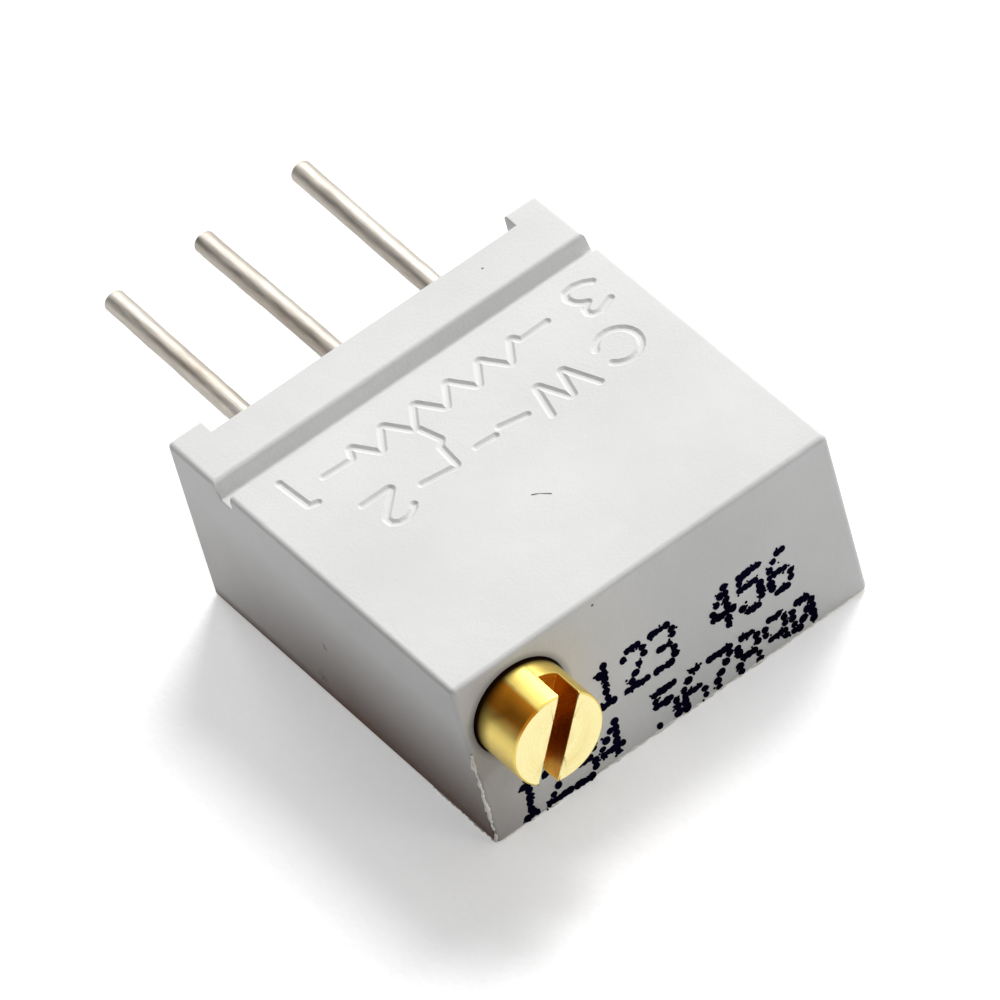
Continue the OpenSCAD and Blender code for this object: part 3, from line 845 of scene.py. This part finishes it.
def screwOutline():
    head, rim = screwSizes["headRadius"], screwSizes["headRim"]
    shaft, pivot = screwSizes["shaftRadius"], screwSizes["pivotRadius"]
    outline = [(0, screwLow.y), (head * 0.5, screwLow.y)]
    outline += arcPoints((head - rim, screwLow.y + rim), rim, 270, 360, 6)
    shaftRun = [(head, screwSizes["seat"]), (shaft, screwSizes["seat"])]
    for radius, start, end in screwSizes["grooves"]:
        shaftRun += [(shaft, start), (radius, start), (radius, end), (shaft, end)]
    shaftRun += [(shaft, screwSizes["wormStart"]), (pivot, screwSizes["wormStart"])]
    outline += [(radius, frontY + along) for radius, along in shaftRun]
    return outline + [(pivot, screwHigh.y), (0, screwHigh.y)]


def wormTree(sizes):
    tree, given = geometryTree("wormThread", sizes)
    grid = geoNode(tree, "MeshGrid", {
        "Size X": 1.0, "Size Y": 1.0, "Vertices X": given["Around"], "Vertices Y": given["Along"]})
    spot = geoNode(tree, "InputPosition")
    x, y, _ = splitNode(tree, spot)
    turn = times(tree, x, 2 * math.pi)
    along = times(tree, calc(tree, "ADD", y, 0.5), given["Length"])
    phase = times(tree, calc(tree, "DIVIDE", along, given["Lead"]), 2 * math.pi)

    def ringPoint(trig, sign):
        bar = times(tree, calc(tree, trig, turn), given["Radius"])
        centre = times(tree, calc(tree, trig, phase), given["Offset"])
        return times(tree, calc(tree, "ADD", bar, centre), sign)

    place = nodeOut(tree, "ShaderNodeCombineXYZ", {
        "X": ringPoint("COSINE", 1.0), "Y": along, "Z": ringPoint("SINE", -1.0)})
    skin = geoNode(tree, "SetPosition", {"Geometry": grid, "Position": place})
    skin = geoNode(tree, "MergeByDistance", {"Geometry": skin, "Distance": 0.0005})
    return endTree(tree, skin, given)


def makeWorm():
    keys = ("length", "radius", "offset", "lead", "around", "along")
    sizes = treeSizes(screwSizes, *keys, Finish=finishes["brass"])
    worm = growMesh(chainObject("worm", [[(0, 0, 0)]]), wormTree(sizes), sizes)
    bm = openMesh(worm)
    bmesh.ops.holes_fill(bm, edges=[e for e in bm.edges if e.is_boundary])
    # turned so that the thread's gap meets the rotor's first tooth
    startY = frontY + screwSizes["wormStart"]
    start = math.radians(-180 - 360 * (rotorAxis.y - startY) / screwSizes["lead"])
    bm.transform(Matrix.Translation((screwAxis.x, startY, screwAxis.z)) @ Matrix.Rotation(-start, 4, "Y"))
    return closeMesh(worm, bm)


def makeScrew():
    screw = latheObject("brassScrew", screwOutline(), screwAxis)
    half, deep, reach = screwSizes["slotWidth"] / 2, screwSizes["slotDepth"], screwSizes["headRadius"] + 0.5
    slot = blockObject("slotTool", (-half, -1, -reach), (half, deep, reach))
    slot.data.transform(Matrix.Translation((screwAxis.x, screwLow.y, screwAxis.z))
                        @ Matrix.Rotation(math.radians(screwSizes["slotTurn"]), 4, "Y"))
    joinInto(screw, [slot], "DIFFERENCE")
    softenEdges(screw, screwSizes["slotEdge"], 2, lambda p: p.y < screwLow.y + deep + 0.01)
    joinInto(screw, [makeWorm()], "UNION")
    shadeByAngle(screw, 30)
    return finishPiece(screw, "screw", "brass", "adjustment_screw")


brassScrew = makeScrew()
print("screw:", len(brassScrew.data.polygons), "faces")


# ---- pins ----

pinWire = {
    "radius": 0.255,
    "bendRadius": 0.4,
    "slope": 50,
    "straightInside": 0.3,
    "outsideSteps": 90,
    "rise": 0.02,
    # the rounding of the tip, and its length as a share of it
    "tipRound": 0.07,
    "tipLength": 0.6,
    "tipSteps": 5,
    # shallow runs of tinning along the wire
    "unevenness": 0.05,
    "runs": (4.0, 1.1, 4.0),
    "sides": 24,
    "seed": 2.0,
    # sideways drift where the pin leaves the seal and at its tip, and how much longer it is than its solid
    "pins": {"pin_1": (0.11, 0.16, 0.0), "pin_2": (-0.03, -0.06, -0.02), "pin_3": (-0.04, 0.05, 0.12)},
}


def wirePath(name):
    low, high = boxMm(name)
    rootDrift, tipDrift, longer = pinWire["pins"][name]
    r, slope, bend = pinWire["radius"], math.radians(pinWire["slope"]), pinWire["bendRadius"]
    x, lowZ, outZ = (low.x + high.x) / 2, low.z + r, high.z - r
    y = low.y + pinWire["straightInside"]
    bendRise = bend * (1 - math.cos(slope))
    slopeLength = (outZ - lowZ - 2 * bendRise) / math.sin(slope)
    path = [(low.y, lowZ), (y, lowZ)]
    path += arcPoints((y, lowZ + bend), bend, 276, 270 + pinWire["slope"], 8)
    y += 2 * bend * math.sin(slope) + slopeLength * math.cos(slope)
    path += arcPoints((y, outZ - bend), bend, 90 + pinWire["slope"], 90, 8)
    tipY, count = high.y + longer, pinWire["outsideSteps"]
    path += [(y + (tipY - y) * k / count, outZ) for k in range(1, count + 1)]
    chain = []
    for along, height in path:
        share = min(max((along - y) / (tipY - y), 0), 1)
        drift = rootDrift * min(share * 20, 1) + (tipDrift - rootDrift) * share
        chain.append((x + drift, along, height + pinWire["rise"] * math.sin(3 * share + x) * share))
    girth = [1.0] * len(chain)
    lastX, _, lastZ = chain[-1]
    tip, steps = pinWire["tipRound"], pinWire["tipSteps"]
    for k in range(1, steps + 1):
        angle = math.radians(90 * k / steps)
        chain.append((lastX, tipY + tip * math.sin(angle) * pinWire["tipLength"], lastZ))
        girth.append(1 - tip / r * (1 - math.cos(angle)))
    return chain, girth


def wireTree(sizes):
    tree, given = geometryTree("drawnWire", sizes)
    line = geoNode(tree, "MeshToCurve", {"Mesh": given["Geometry"]})
    girth = geoNode(tree, "InputNamedAttribute", {"Name": "girth"}, data_type="FLOAT")
    ring = geoNode(tree, "CurvePrimitiveCircle", {"Resolution": given["Sides"], "Radius": given["Radius"]})
    wire = geoNode(tree, "CurveToMesh", {
        "Curve": line, "Profile Curve": ring, "Scale": girth, "Fill Caps": True})
    place = geoNode(tree, "InputPosition")
    runs = nodeOut(tree, "ShaderNodeVectorMath", {0: place, 1: pinWire["runs"]}, operation="MULTIPLY")
    cloud = noise(tree, "4D", Vector=runs, W=given["Seed"], Scale=1.0, Detail=3.0)["Fac"]
    push = times(tree, calc(tree, "SUBTRACT", cloud, 0.5), given["Unevenness"])
    shift = scaled(tree, geoNode(tree, "InputNormal"), push)
    wire = geoNode(tree, "SetPosition", {"Geometry": wire, "Offset": shift})
    return endTree(tree, wire, given)


wireSizes = treeSizes(pinWire, "radius", "unevenness", "sides", "seed", Finish=finishes["tinned_wire"])
drawnWire = wireTree(wireSizes)
for name in pinWire["pins"]:
    chain, girth = wirePath(name)
    pin = growMesh(chainObject("wire" + name[3:], [chain], [girth]), drawnWire, wireSizes)
    wireSizes["Seed"] += 1
    shadeByAngle(pin, 40, weighted=False)
    finishPiece(pin, "case", "tinned_wire", name)
print("pins:", len(pin.data.polygons), "faces each")


# ---- surface of the sealant, drawn up its walls and round the pins ----

sealant = {
    "cell": 0.09,
    "climb": 0.12,
    "reach": 0.22,
    "unevenness": 0.03,
    "thickness": 0.12,
    # a step of the wires' paths where their drift is over
    "pinStep": 30,
}


def makeSealSurface():
    width, tall = sealHigh.x - sealLow.x, sealHigh.z - sealLow.z
    pinSpots = [wirePath(name)[0][sealant["pinStep"]] for name in pinWire["pins"]]
    bm = bmesh.new()

    def place(across, up):
        x, z = sealLow.x + width * across, sealLow.z + tall * up
        wall = min(x - sealLow.x, sealHigh.x - x, z - sealLow.z, sealHigh.z - z)
        pinGap = min(math.hypot(x - spot[0], z - spot[2]) for spot in pinSpots) - pinWire["radius"]
        near = min(wall, max(pinGap, 0))
        rise = sealant["climb"] * math.exp(-near / sealant["reach"] * 2)
        ripple = math.sin(1.3 * x + 0.7) * math.cos(1.9 * z - 0.4) + 0.5 * math.sin(2.9 * x - 1.7 * z)
        return x, sealHigh.y + rise + sealant["unevenness"] * (ripple - 1), z

    faces = gridFaces(bm, round(width / sealant["cell"]), round(tall / sealant["cell"]), place)
    for v in extrudeFaces(bm, faces):
        v.co.y = sealHigh.y - sealant["thickness"]
    surface = shadeByAngle(meshObject("sealantSurface", bm), 50, weighted=False)
    return finishPiece(surface, "case", "epoxy")


makeSealSurface()
print("sealant surface ready")


# ---- flash left along the mould's parting edges ----

flash = {
    "thickness": 0.042,
    "wander": 0.09,
    "step": 0.022,
    "seed": 7.0,
    "inset": 0.27 * body["edge"],
    # how high and how far back the seam runs, and how far short of its neighbours it stops
    "top": 2.7,
    "back": 2.2,
    "rightGap": 0.2,
    "gap": 0.05,
    "lift": 0.025,
}


def beadTree(sizes):
    tree, given = geometryTree("raggedBead", sizes)
    line = geoNode(tree, "MeshToCurve", {"Mesh": given["Geometry"]})
    line = geoNode(tree, "ResampleCurve", {"Curve": line, "Length": given["Step"]}, mode="LENGTH")
    place = geoNode(tree, "InputPosition")

    def waver(scale, offset):
        seed = calc(tree, "ADD", given["Seed"], offset)
        return noise(tree, "4D", Vector=place, W=seed, Scale=scale, Detail=3.0)

    drift = nodeOut(tree, "ShaderNodeVectorMath", {0: waver(4.0, 0.0)["Color"], 1: (0.5, 0.5, 0.5)},
                    operation="SUBTRACT")
    drift = scaled(tree, drift, given["Wander"])
    line = geoNode(tree, "SetPosition", {"Geometry": line, "Offset": drift})
    girth = ramp(tree, waver(6.0, 4.0)["Fac"], 0.35, 0.7, 0.15, 1.6)
    profile = geoNode(tree, "CurvePrimitiveCircle", {"Resolution": 6, "Radius": given["Thickness"]})
    bead = geoNode(tree, "CurveToMesh", {
        "Curve": line, "Profile Curve": profile, "Scale": girth, "Fill Caps": True})
    return endTree(tree, bead, given)


def makeBead(name, chains, look, finish, smooth):
    sizes = treeSizes(look, "thickness", "wander", "step", "seed", Finish=finish)
    bead = growMesh(chainObject(name, chains), beadTree(sizes), sizes)
    if smooth:
        bead.data.shade_smooth()
    finishPiece(bead, "case", "moulded_housing", material=finish)


def makeFlash():
    left, near, low = caseLow.x + flash["inset"], frontY + flash["inset"], flash["inset"]
    gap, lift = flash["gap"], flash["lift"]
    makeBead("mouldFlash", [
        [(left, near, flash["top"]), (left, near, 0.06)],
        [(left + gap, near, low + lift), (caseHigh.x - flash["rightGap"], near, low + lift)],
        [(left, near + gap, low), (left, near + flash["back"], low)],
    ], flash, flashHighlightFinish, smooth=True)


makeFlash()
print("mould flash ready")


# ---- lint: a short fibre lying on the top ----

lint = {
    "thickness": 0.007,
    "wander": 0.05,
    "step": 0.03,
    "seed": 3.0,
    "path": [(-0.40, -1.62), (-0.24, -1.74), (-0.10, -1.90)],
}


fibre = [(x, y, topZ + lint["thickness"]) for x, y in lint["path"]]
makeBead("lint", [fibre], lint, lintFinish, smooth=False)
print("lint laid")


# ---- stamped numbers: plain counting digits made of ink dots ----

ink = {
    "dot": 0.095,
    "columnStep": 0.122,
    "rowStep": 0.168,
    "slant": 0.1,
    "lift": 0.004,
    "rows": [  # digits, start and height of the first one, pitch, rise along the row
        ("123 456", -1.78, 1.65, 0.735, -0.033),
        ("1234 567890", -4.08, 0.18, 0.695, -0.040),
    ],
    "spread": 0.012,
    "splash": 0.1,
    "copies": 3,
    "clearOfScrew": 1.185,
    "seed": 11,
}
dotDigits = {
    "0": "01110 10001 10011 10101 11001 10001 01110",
    "1": "00100 01100 00100 00100 00100 00100 01110",
    "2": "01110 10001 00001 00010 00100 01000 11111",
    "3": "11110 00001 00001 01110 00001 00001 11110",
    "4": "00010 00110 01010 10010 11111 00010 00010",
    "5": "11111 10000 11110 00001 00001 10001 01110",
    "6": "00110 01000 10000 11110 10001 10001 01110",
    "7": "11111 00001 00010 00100 01000 01000 01000",
    "8": "01110 10001 10001 01110 10001 10001 01110",
    "9": "01110 10001 10001 01111 00001 00010 01100",
}


def dotPlaces():
    places = []
    for digits, startX, startZ, pitch, rise in ink["rows"]:
        for number, digit in enumerate(digits):
            for r, row in enumerate(dotDigits.get(digit, "").split()):
                for c, filled in enumerate(row):
                    up = (6 - r) * ink["rowStep"]
                    x = startX + number * pitch + c * ink["columnStep"] + ink["slant"] * up
                    z = startZ + number * pitch * rise + up
                    clear = math.hypot(x - screwAxis.x, z - screwAxis.z) > ink["clearOfScrew"]
                    if filled == "1" and z > body["edge"] * 0.8 and clear:
                        places.append((x, frontY - ink["lift"], z))
    return places


def inkTree(sizes):
    tree, given = geometryTree("inkDots", sizes)
    points = geoNode(tree, "MeshToPoints", {"Mesh": given["Geometry"]})
    copies = addNode(tree, "GeometryNodeDuplicateElements", {
        "Geometry": points, "Amount": given["Copies"]}, domain="POINT").outputs
    index = geoNode(tree, "InputIndex")

    def chance(low, high, offset, kind="FLOAT"):
        seed = calc(tree, "ADD", given["Seed"], float(offset))
        node = addNode(tree, "FunctionNodeRandomValue", {"ID": index, "Seed": seed}, data_type=kind)
        ends = [i for i in node.inputs if i.enabled and i.name in ("Min", "Max")]
        ends[0].default_value, ends[1].default_value = low, high
        return [o for o in node.outputs if o.enabled][0]

    # each dot's first copy is the dot, and the others are splashes round it
    splash = calc(tree, "GREATER_THAN", copies["Duplicate Index"], 0.5)
    near = chance((-1.0, 0.0, -1.0), (1.0, 0.0, 1.0), 1, "FLOAT_VECTOR")
    reach = timesPlus(tree, splash, given["Splash"], given["Spread"])
    placed = geoNode(tree, "SetPosition", {
        "Geometry": copies["Geometry"], "Offset": scaled(tree, near, reach)})
    disc = addNode(tree, "GeometryNodeMeshCylinder", {
        "Vertices": 11, "Radius": given["Dot"], "Depth": given["Lift"]}).outputs["Mesh"]
    disc = geoNode(tree, "Transform", {"Geometry": disc, "Rotation": (math.pi / 2, 0, 0)})
    spin = nodeOut(tree, "ShaderNodeCombineXYZ", {"Y": chance(0.0, 6.28, 2)})
    size = times(tree, chance(0.85, 1.12, 3), timesPlus(tree, splash, -0.68, 1.0))
    squeeze = nodeOut(tree, "ShaderNodeCombineXYZ", {
        "X": size, "Y": chance(0.7, 1.6, 4), "Z": times(tree, size, chance(0.8, 1.2, 5))})
    dots = geoNode(tree, "InstanceOnPoints", {
        "Points": placed, "Instance": disc, "Rotation": spin, "Scale": squeeze})
    return endTree(tree, dots, given)


def makeInk():
    sizes = treeSizes(ink, "dot", "spread", "splash", "copies", "seed", Finish=inkFinish)
    sizes["Lift"] = ink["lift"] * 2
    dots = chainObject("stampedNumbers", [[place] for place in dotPlaces()])
    stamp = growMesh(dots, inkTree(sizes), sizes)
    return finishPiece(stamp, "case", "moulded_housing", material=inkFinish)


stamp = makeInk()
print("stamped numbers:", len(stamp.data.polygons), "faces")


# ---- pieces kept as they are packed ----

slotOf = {part["node"]: part["material_slot"] for part in frame["record"]["subparts"]}
for name, obj in nodes.items():
    obj.data.materials.clear()
    obj.data.materials.append(finishes[slotOf[name]])
print("packed pieces dressed")


# ---- camera, light and floor ----

view = {
    "turn": -24.45, "height": 44.87, "roll": -16.58,
    "distance": 247.7, "target": (-0.51, -0.32, 3.55), "lens": 442,
}


# turn is round from +Y towards -X
def aimed(turn, height):
    return Vector((-math.sin(turn) * math.cos(height), math.cos(turn) * math.cos(height), math.sin(height)))


def setCamera():
    turn, height, roll = (math.radians(view[k]) for k in ("turn", "height", "roll"))
    towards = aimed(math.pi + turn, height)
    facing = towards.to_track_quat("Z", "Y").to_matrix().to_4x4()
    camera = addObject("camera", bpy.data.cameras.new("camera"))
    camera.data.lens = view["lens"]
    camera.data.sensor_width = 36
    camera.data.clip_start = 0.005
    camera.data.clip_end = 10
    place = (Vector(view["target"]) + towards * view["distance"]) * mm
    camera.matrix_world = Matrix.Translation(place) @ facing @ Matrix.Rotation(roll, 4, "Z")
    bpy.context.scene.camera = camera


studio = {
    "floorColour": paint(226, 226, 227),
    "floorLift": 0.37,
    # light from the sky: from above and from the +X side
    "skyAbove": 0.3,
    "skyRight": 0.6,
    # the card's spread round from +Y towards -X and above the floor, in degrees
    "card": {"distance": 420, "turn": (4, 75), "height": (0, 48), "colour": (24, 24, 26)},
    "lamps": {  # place in millimetres, size, power
        "keyLamp": ((180, 125, 260), 120, 0.84),
        "sideLamp": ((220, 60, 200), 120, 0.18),
        "backLamp": ((60, 240, 120), 80, 0.13),
        "fillLamp": ((120, -240, 120), 100, 0.11),
        "windowLamp": ((-19, 17, 7), 8, 0.0006),
    },
}


def seenDirectly(tree):
    rays = addNode(tree, "ShaderNodeLightPath").outputs
    mirrored = calc(tree, "MAXIMUM", rays["Is Glossy Ray"], rays["Is Transmission Ray"])
    return calc(tree, "MAXIMUM", rays["Is Camera Ray"], mirrored)


def makeFloor():
    bm = bmesh.new()
    bmesh.ops.create_grid(bm, x_segments=1, y_segments=1, size=600)
    floor = meshObject("floor", bm)
    floor.data.transform(Matrix.Scale(mm, 4))
    material, tree, shader, place = startMaterial(
        "paleSheet", Base_Color=studio["floorColour"], Roughness=0.8, Emission_Color=(1, 1, 1, 1))
    lift = times(tree, seenDirectly(tree), studio["floorLift"])
    tree.links.new(lift, shader.inputs["Emission Strength"])
    marks = useEffect(tree, grain, Vector=place, Fine=5000.0, Broad=400.0)
    setBump(tree, shader, marks["Grain"], 0.00002)
    floor.data.materials.append(material)


# a dark card, not seen itself, gives the metal something to mirror
def makeCard():
    card = studio["card"]
    bm = bmesh.new()

    def place(turnShare, heightShare):
        turn, height = [math.radians(low + (high - low) * share) for (low, high), share in
                        ((card["turn"], turnShare), (card["height"], heightShare))]
        return aimed(turn, height) * card["distance"]

    gridFaces(bm, 16, 8, place)
    sheet = meshObject("darkCard", bm)
    sheet.data.transform(Matrix.Scale(mm, 4))
    sheet.visible_camera = False
    sheet.data.materials.append(plainFinish("darkCard", card["colour"], card["colour"], 0.8))


def lightStudio():
    world = bpy.data.worlds.new("studio")
    bpy.context.scene.world = world
    world.use_nodes = True
    tree = world.node_tree
    tree.nodes.clear()
    towards = addNode(tree, "ShaderNodeTexCoord").outputs["Generated"]
    x, _, z = splitNode(tree, towards)
    above = times(tree, calc(tree, "MAXIMUM", z), studio["skyAbove"])
    strength = timesPlus(tree, calc(tree, "MAXIMUM", x), studio["skyRight"], above)
    strength = nodeOut(tree, "ShaderNodeMix", {0: seenDirectly(tree), 2: strength, 3: 1.0})
    sky = addNode(tree, "ShaderNodeBackground", {"Color": (1, 1, 1, 1), "Strength": strength})
    addNode(tree, "ShaderNodeOutputWorld", {"Surface": sky.outputs[0]})
    for name, (place, size, power) in studio["lamps"].items():
        lamp = addObject(name, bpy.data.lights.new(name, "AREA"))
        lamp.data.shape = "DISK"
        lamp.data.size = size * mm
        lamp.data.energy = power
        lamp.location = Vector(place) * mm
        lamp.rotation_euler = lamp.location.to_track_quat("Z", "Y").to_euler()
    bpy.context.scene.view_settings.view_transform = "Standard"


setCamera()
makeFloor()
makeCard()
lightStudio()
print("camera, floor and lamps set")
